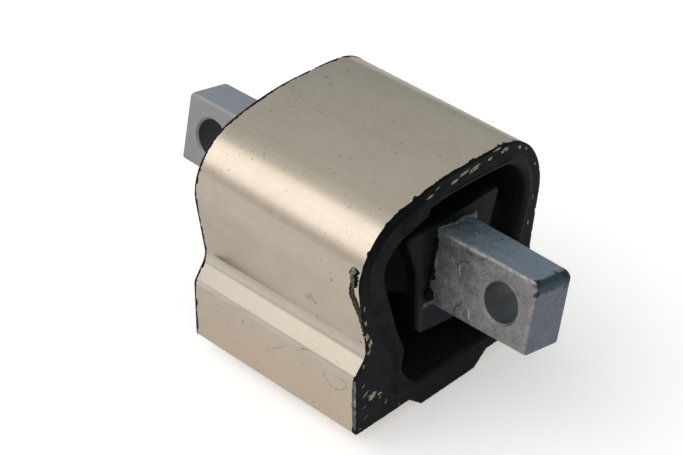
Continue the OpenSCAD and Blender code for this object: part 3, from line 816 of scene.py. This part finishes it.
def near_wrap(p, s):
    if p[1] < 0.6 and abs(p[0]) < FOOT_Y - 0.6:
        return -1.0
    if p[1] > 50 and p[0] > -20:
        ragged = max(0, 0.15 + wobble(s, 0.37, 8)) * max(0, 0.10 + wobble(s, 0.9, 10))
        return 0.28 + 0.35 * wobble(s, 0.31, 7) + 3.0 * ragged
    if p[0] > 0:
        return 0.1 + 0.25 * wobble(s, 0.9, 9)
    if p[1] < FOOT_H + 1:
        return 0.75 + 0.45 * wobble(s, 0.35, 21) + 0.2 * wobble(s, 1.5, 22)
    ragged = max(0, 0.1 + wobble(s, 0.43, 6)) * max(0, 0.10 + wobble(s, 0.8, 3))
    return 0.20 + 0.3 * wobble(s, 0.23, 5) + 2.0 * ragged


def far_short(s):
    return max(0.05, 0.15 + 0.15 * wobble(s, 0.9, 11))


def far_wrap(p, s):
    if p[1] < 0.6 and abs(p[0]) < FOOT_Y - 0.6:
        return -1.0
    return 0.35 + 0.45 * wobble(s, 0.6, 12) + 0.35 * wobble(s, 2.2, 13)


def thin_patch(bm, at, x0, x1, rng):
    """Irregular thin slab between two planes of X, about a point (y, z), with half sizes and a turn."""
    y, z, along, across, turn = at
    n, rough = 11, 0.75
    points = []
    for i, spread in enumerate([1 + rough * (rng.random() - 0.5) * 2 for _ in range(n)]):
        a = 2 * math.pi * i / n
        u, v = along * spread * math.cos(a), across * spread * math.sin(a)
        points.append((y + u * math.cos(turn) - v * math.sin(turn), z + u * math.sin(turn) + v * math.cos(turn)))
    loft(bm, [x0, x1], [points, [(y + (p[0] - y) * 0.85, z + (p[1] - z) * 0.85) for p in points]])


def make_chips():
    """Small flat chips on the near end face: (y, z, length, width, turn in degrees, how many)."""
    top = [(-9.3, 63.0, 2.2, 0.7, 12, 4), (-3.8, 62.1, 1.2, 0.5, 20, 3), (-0.1, 63.0, 2.8, 0.9, 10, 5),
           (3.6, 63.9, 3.2, 0.7, 5, 5), (7.5, 63.3, 3.6, 1.1, 5, 7), (13.2, 63.0, 1.6, 0.5, 0, 4),
           (19.0, 62.6, 2.4, 0.9, -8, 5), (25.0, 60.4, 1.3, 0.8, -30, 4), (27.6, 58.6, 0.9, 0.6, -35, 2),
           (31.5, 52.5, 0.7, 0.5, -70, 3), (31.4, 42.3, 1.2, 0.35, 85, 3), (29.9, 34.9, 1.3, 0.35, 80, 3),
           (-14.5, 60.6, 2.0, 0.4, 22, 3), (16.0, 64.3, 2.2, 0.35, 0, 3), (-6.5, 64.2, 1.8, 0.3, 8, 2)]
    low = [(-29.4, 10.1, 2.6, 1.7, 10, 9), (-26.9, 9.4, 1.4, 0.8, -10, 4), (-32.0, 12.2, 2.0, 0.5, 30, 4),
           (-26.7, 8.2, 0.8, 0.4, 60, 2), (-24.4, 5.4, 1.2, 0.35, 60, 2), (-19.4, 1.4, 0.6, 0.3, 40, 2),
           (-32.7, 15.4, 1.4, 0.25, 40, 2), (-32.3, 8.1, 1.3, 0.25, 35, 1), (-31.8, 4.4, 1.4, 0.22, 25, 1),
           (-34.2, 1.8, 0.7, 0.3, 0, 3), (-31.6, 30.8, 2.2, 1.2, -60, 6), (-30.4, 27.9, 2.0, 1.2, -70, 6),
           (-30.9, 25.6, 1.4, 0.8, 70, 3), (-32.8, 21.6, 1.2, 0.6, 75, 3), (-32.7, 40.0, 1.4, 0.4, 85, 3),
           (-32.1, 35.4, 1.6, 0.6, 85, 4)]
    rng = random.Random(5)
    bm = bmesh.new()
    face = HALF + FILM_T
    for y, z, length, width, turn, count in top + low:
        t = math.radians(turn)
        for k in range(count * 4):
            reach = 0.10 + 0.3 * rng.random() ** 2
            along = (rng.random() - 0.5) * length * (1 - reach)
            over = (rng.random() - 0.5) * width
            at = (y + along * math.cos(t) - over * math.sin(t), z + along * math.sin(t) + over * math.cos(t),
                  length * reach, 0.05 + 0.12 * rng.random() * min(width, 1), t + (rng.random() - 0.5) * 0.5)
            thin_patch(bm, at, face - 0.06, face + 0.03 + 0.004 * (k % 9), rng)
    dressed(finished(bm, "film_chips", 40), CHIP, "black_rubber")


def make_lump(bm, at, size, rng, squash=0.7):
    made = bmesh.ops.create_icosphere(bm, subdivisions=2, radius=1.0)["verts"]
    shift = rng.random() * 50
    for v in made:
        p = v.co.copy()
        grow = 0.75 + 0.6 * noise.noise(p * 1.3 + Vector((shift, 0, 0)))
        v.co = Vector((p.x * grow * squash, p.y * grow, p.z * grow)) * size * MM
        v.co += Vector((at[0], at[1], at[2] + KEEL_H)) * MM


def make_crumbs():
    """Rubber squeezed up against the root of the tang, and pale crumbs under it."""
    rng = random.Random(8)
    bm = bmesh.new()
    for k in range(17):
        t = k / 16
        q = leaning(30.6 + 0.4 * rng.random(), -7.5 + 0.3 * rng.random(), 7.6 - 16.4 * t + 0.3 * rng.random())
        make_lump(bm, q, 0.5 + 0.4 * rng.random(), rng)
    for x, z, size in ((31.4, -2.6, 1.1), (31.3, -1.4, 0.9), (31.6, -7.4, 1.5), (31.2, -8.8, 1.5), (30.8, 0.4, 0.8),
                       (31.2, -8.2, 1.7), (31.8, -8.6, 1.1)):
        make_lump(bm, leaning(x, -7.3, z), size, rng, 0.9)
    dressed(finished(bm, "root_rubber", 70), SHADED, "black_rubber")
    bm = bmesh.new()
    for k in range(26):
        q = leaning(30.5 + 0.5 * rng.random(), -8.8 + 3.6 * rng.random(), -11.9 + 1.5 * rng.random())
        make_lump(bm, q, 0.12 + 0.2 * rng.random(), rng)
    for k in range(30):
        q = leaning(30.3 + 1.1 * rng.random() ** 2, -6.6 + 8.6 * rng.random(), 10.9 + 0.25 * rng.random())
        make_lump(bm, q, 0.12 + 0.24 * rng.random() ** 2, rng)
    dressed(finished(bm, "root_crumbs", 70), GREY, "black_rubber")


LEFT_WALL = sorted([(z, y) for y, z in outline(OUTER, 3) if y < -25])


def wall_strip(name, rows, thick, rough, seed, material, border=None):
    """Ragged strip that lies on the left wall. Rows are (height, least x, greatest x, lift) in mm."""
    rng = random.Random(seed)
    heights, ys = zip(*LEFT_WALL)
    at = np.array(rows, float)
    run = np.arange(0, len(rows) - 1 + 1e-6, 0.25)
    fine = np.column_stack([np.interp(run, np.arange(len(rows)), at[:, k]) for k in range(4)])
    bm = bmesh.new()
    rings = []
    for z, x0, x1, lift in fine:
        x0 += rough * (rng.random() - 0.5)
        x1 += rough * (rng.random() - 0.5) * (0 if x1 > HALF - 0.1 else 1)
        y = np.interp(z, heights, ys)
        border_x = x1 - min(0.7, (x1 - x0) * 0.45)
        proud = thick * (1 + 0.5 * (rng.random() - 0.5))
        section = [(x0, 0.15), (x0 + 0.05, -proud - lift), ((x0 + border_x) / 2, -proud * 1.25 - lift),
                   (border_x, -proud - lift), (x1, -proud * 0.6 - lift * 0.7), (x1, 0.15)]
        rings.append([vert(bm, x, y + d, z) for x, d in section])
    stack(bm, rings)
    piece = dressed(finished(bm, name, 50), material, "black_rubber")
    if border:
        piece.data.materials.append(border)
        n = len(section)
        for k, face in enumerate(piece.data.polygons):
            face.material_index = 1 if k < n * (len(rings) - 1) and k % n in (3, 4) else 0


def make_torn_flash():
    """Film torn off the near left edge with its crumpled upper end, and film peeled over the foot's edge."""
    chunk = [(51.9, 27.2, 28.0, 0), (51.2, 26.7, 29.3, 0.1), (50.3, 26.6, 28.6, 0.2), (49.4, 26.9, 29.3, 0.3),
             (48.5, 27.0, 28.9, 0.2), (47.6, 27.4, 29.2, 0.1), (46.8, 27.8, 28.5, 0)]
    wall_strip("torn_chunk", chunk, 0.3, 0.9, 3, CRUMPLED, FILM)
    strip = [(47.8, 27.1, 28.1, 0), (45.9, 26.9, 28.1, 0.2), (44.3, 26.8, 28.2, 0.3), (42.6, 27.5, 28.8, 0.4),
             (41.0, 28.0, 29.2, 0.4), (39.6, 28.4, 29.4, 0.3), (37.5, 29.1, 29.85, 0.2), (36.0, 29.3, 29.9, 0.2),
             (34.3, 29.5, 30.0, 0.1), (32.4, 29.6, 30.0, 0)]
    wall_strip("torn_strip", strip, 0.3, 0.35, 4, FILM, TORN)
    peel = [(18.4, 29.7), (17.4, 29.3), (15.4, 29.2), (13.4, 29.3), (11.4, 29.15), (9.4, 29.2), (7.4, 29.15),
            (5.4, 29.2), (3.9, 29.3), (2.4, 29.7)]
    wall_strip("foot_peel", [(z, x0, 30.38, 0) for z, x0 in peel], 0.1, 0.12, 5, FOOT_FILM)


def make_root_flash():
    """Frayed skin of flash that stands on the block's end round the upper root of the tang."""
    rng = random.Random(12)
    bm = bmesh.new()
    n = 44
    rise = (TIP_X - HALF) * tan(DRAFT)
    w, h = TANG_W / 2 + rise, TANG_H / 2 + rise
    fringe = [0.25 + 0.5 * rng.random() + (1.3 if 0.55 < i / n < 0.95 else 0.2) * rng.random() for i in range(n)]
    ys = [-w - 0.3 + (2 * w + 0.9) * i / (n - 1) for i in range(n)]
    stack(bm, [[vert(bm, *leaning(x, y, h + f * share)) for y, f in zip(ys, fringe)]
               + [vert(bm, *leaning(x, y, h - 0.8)) for y in reversed(ys)]
               for x, share in ((HALF + 0.1, 1.0), (HALF + 0.65, 0.85))])
    bmesh.ops.triangulate(bm, faces=[f for f in bm.faces if len(f.verts) > 4])
    dressed(finished(bm, "root_flash", 50), FRAYED, "cast_aluminium")


# Core
def make_core():
    reach = [TIP_X - TIP_R + TIP_R * math.sin(math.radians(a)) for a in range(0, 91, 10)]

    def drop(x, r):
        """How far a tip corner of radius r has fallen away at x."""
        over = max(abs(x) - TIP_X + r, 0.0)
        return r - math.sqrt(max(r * r - over * over, 0.0))

    bm = bmesh.new()
    rings = []
    for x in [-x for x in reversed(reach)] + [0.0] + reach:
        rise = (TIP_X - abs(x)) * tan(DRAFT)
        w, h = TANG_W / 2 + rise, TANG_H / 2 + rise
        side, near, top = drop(x, TIP_SIDE_R), drop(x, TIP_NEAR_R), drop(x, TIP_R)
        section = soft_box((w - near, w - side), (h - side, h - top), max(TANG_R - near * 0.6, 0.3), 7)
        rings.append([vert(bm, *leaning(x, y, z)) for y, z in section])
    stack(bm, rings)
    piece = finished(bm, "core_bar", 24)
    r = BOLT_D / 2
    face = TANG_W / 2 + (TIP_X - BOLT_PITCH / 2) * tan(DRAFT)
    far = face + 1.0
    profile = [(0, -far), (r + BOLT_CHAMFER + 1.0, -far), (r, -face + BOLT_CHAMFER),
               (r, face - BOLT_CHAMFER), (r + BOLT_CHAMFER + 1.0, far), (0, far)]
    turn = Matrix.Rotation(-LEAN, 4, "X") @ Matrix.Rotation(math.radians(90), 4, "X")
    drills = []
    for sign in (-1, 1):
        x, y, z = leaning(sign * BOLT_PITCH / 2, 0, 0)
        drills.append(revolve("drill", profile, Matrix.Translation((x * MM, y * MM, (z + KEEL_H) * MM)) @ turn, 72))
    cut(piece, drills)
    dressed(piece, CAST, "cast_aluminium", "inner_core")
    piece.data.materials.append(CAST_FACE)
    wide = Vector((0, -math.cos(LEAN), math.sin(LEAN)))
    for face in piece.data.polygons:
        face.material_index = 1 if face.center.x > 0 and face.normal.dot(wide) > 0.5 else 0


def make_block():
    bm = bmesh.new()
    prism(bm, BLOCK, rounded_end(HALF, 0.6), 10)
    dressed(finished(bm, "core_block", 24), STAINED, "cast_aluminium")


def make_block_films():
    for sign, name in ((1, "block_film_near"), (-1, "block_film_far")):
        bm = bmesh.new()
        places = [sign * x for x in (HALF - 1.0, HALF + FILM_T - 0.15, HALF + FILM_T)]
        prism(bm, BLOCK, (places, (-SKIN_T, -SKIN_T, 0.1 - SKIN_T)), 10)
        dressed(finished(bm, name, 40), BLOCK_FILM, "black_rubber")


make_housing()
make_lining()
make_arms()
make_film_piece("film_near", 1, near_short, near_wrap)
make_film_piece("film_far", -1, far_short, far_wrap)
make_chips()
make_crumbs()
make_torn_flash()
make_root_flash()
make_core()
make_block()
make_block_films()


# Stage, light and camera
def make_floor():
    bm = bmesh.new()
    bmesh.ops.create_grid(bm, x_segments=8, y_segments=8, size=8.0)
    floor = finished(bm, "floor", recalc=False)
    n = Nodes("pale floor")
    colour = n.mix(n.noise(3.0, 2.0), (0.865, 0.86, 0.86), (0.885, 0.88, 0.88))
    # a little of the floor's own light, seen by the camera and in reflections only
    rays = n.add("ShaderNodeLightPath").outputs
    direct, reflected = 0.36, 0.22
    seen = n.times(rays["Is Camera Ray"], direct)
    for kind in ("Is Glossy Ray", "Is Transmission Ray"):
        seen = n.math("MAXIMUM", seen, n.times(rays[kind], reflected))
    floor.data.materials.append(n.done(Base_Color=colour, Roughness=0.9, Specular_IOR_Level=0.1,
                                       Emission_Color=(1, 1, 1, 1), Emission_Strength=seen))


# Colour of the light at angles round the X axis, in degrees from the camera's left horizon over the top
STUDIO = ((0, 0.76, 0.735, 0.70), (13, 0.77, 0.745, 0.71), (19, 1.12, 1.09, 1.04), (28, 1.80, 1.74, 1.70),
          (41, 1.98, 1.93, 1.89), (58, 1.92, 1.88, 1.84), (67, 1.72, 1.70, 1.67), (77, 0.95, 0.95, 0.92),
          (90, 0.80, 0.82, 0.79), (102, 0.72, 0.74, 0.71), (122, 0.66, 0.68, 0.67), (150, 0.60, 0.63, 0.64),
          (180, 0.56, 0.60, 0.62))


def make_world():
    """Soft studio, with a long soft box at the left that gives the bright band on the shoulder."""
    n = Nodes("soft studio", world=True)
    x, y, z = n.split(n.place.outputs["Generated"])
    angle = n.math("ARCTAN2", z, n.times(y, -1.0))
    light = n.add("ShaderNodeValToRGB", {0: n.math("DIVIDE", angle, math.pi)})
    table = light.color_ramp.elements
    while len(table) < len(STUDIO):
        table.new(0.5)
    for element, (deg, *tone) in zip(table, STUDIO):
        element.position = deg / 180
        element.color = (*tone, 1)
    # less light comes from the front right, where the room is dark
    back = n.add("ShaderNodeBackground", {"Color": light.outputs[0], "Strength": n.ramp(x, -0.1, 0.45, 1.0, 0.45)})
    n.add("ShaderNodeOutputWorld", {"Surface": back.outputs[0]})
    scene.world = n.owner


def make_camera():
    """Camera as solved from the outlines: its axes, its place and its focal length in pixels of the frame."""
    focal, frame_width, sensor = 2361.686, 683, 36.0
    data = bpy.data.cameras.new("camera")
    data.sensor_fit, data.sensor_width, data.lens = "HORIZONTAL", sensor, focal / frame_width * sensor
    data.clip_start, data.clip_end = 0.01, 20.0
    camera = bpy.data.objects.new("camera", data)
    right = Vector((0.71267114, 0.70149695, -0.00137338))
    up = Vector((-0.40939389, 0.41750336, 0.81122598))
    back = Vector((0.56964594, -0.57757508, 0.58473116))
    turn = Matrix((right, up, back)).transposed().to_4x4()
    camera.matrix_world = Matrix.Translation((0.35375899, -0.36867371, 0.40144582 + KEEL_H * MM)) @ turn
    scene.collection.objects.link(camera)
    scene.camera = camera


make_floor()
make_world()
make_camera()
scene.view_settings.view_transform = "Standard"
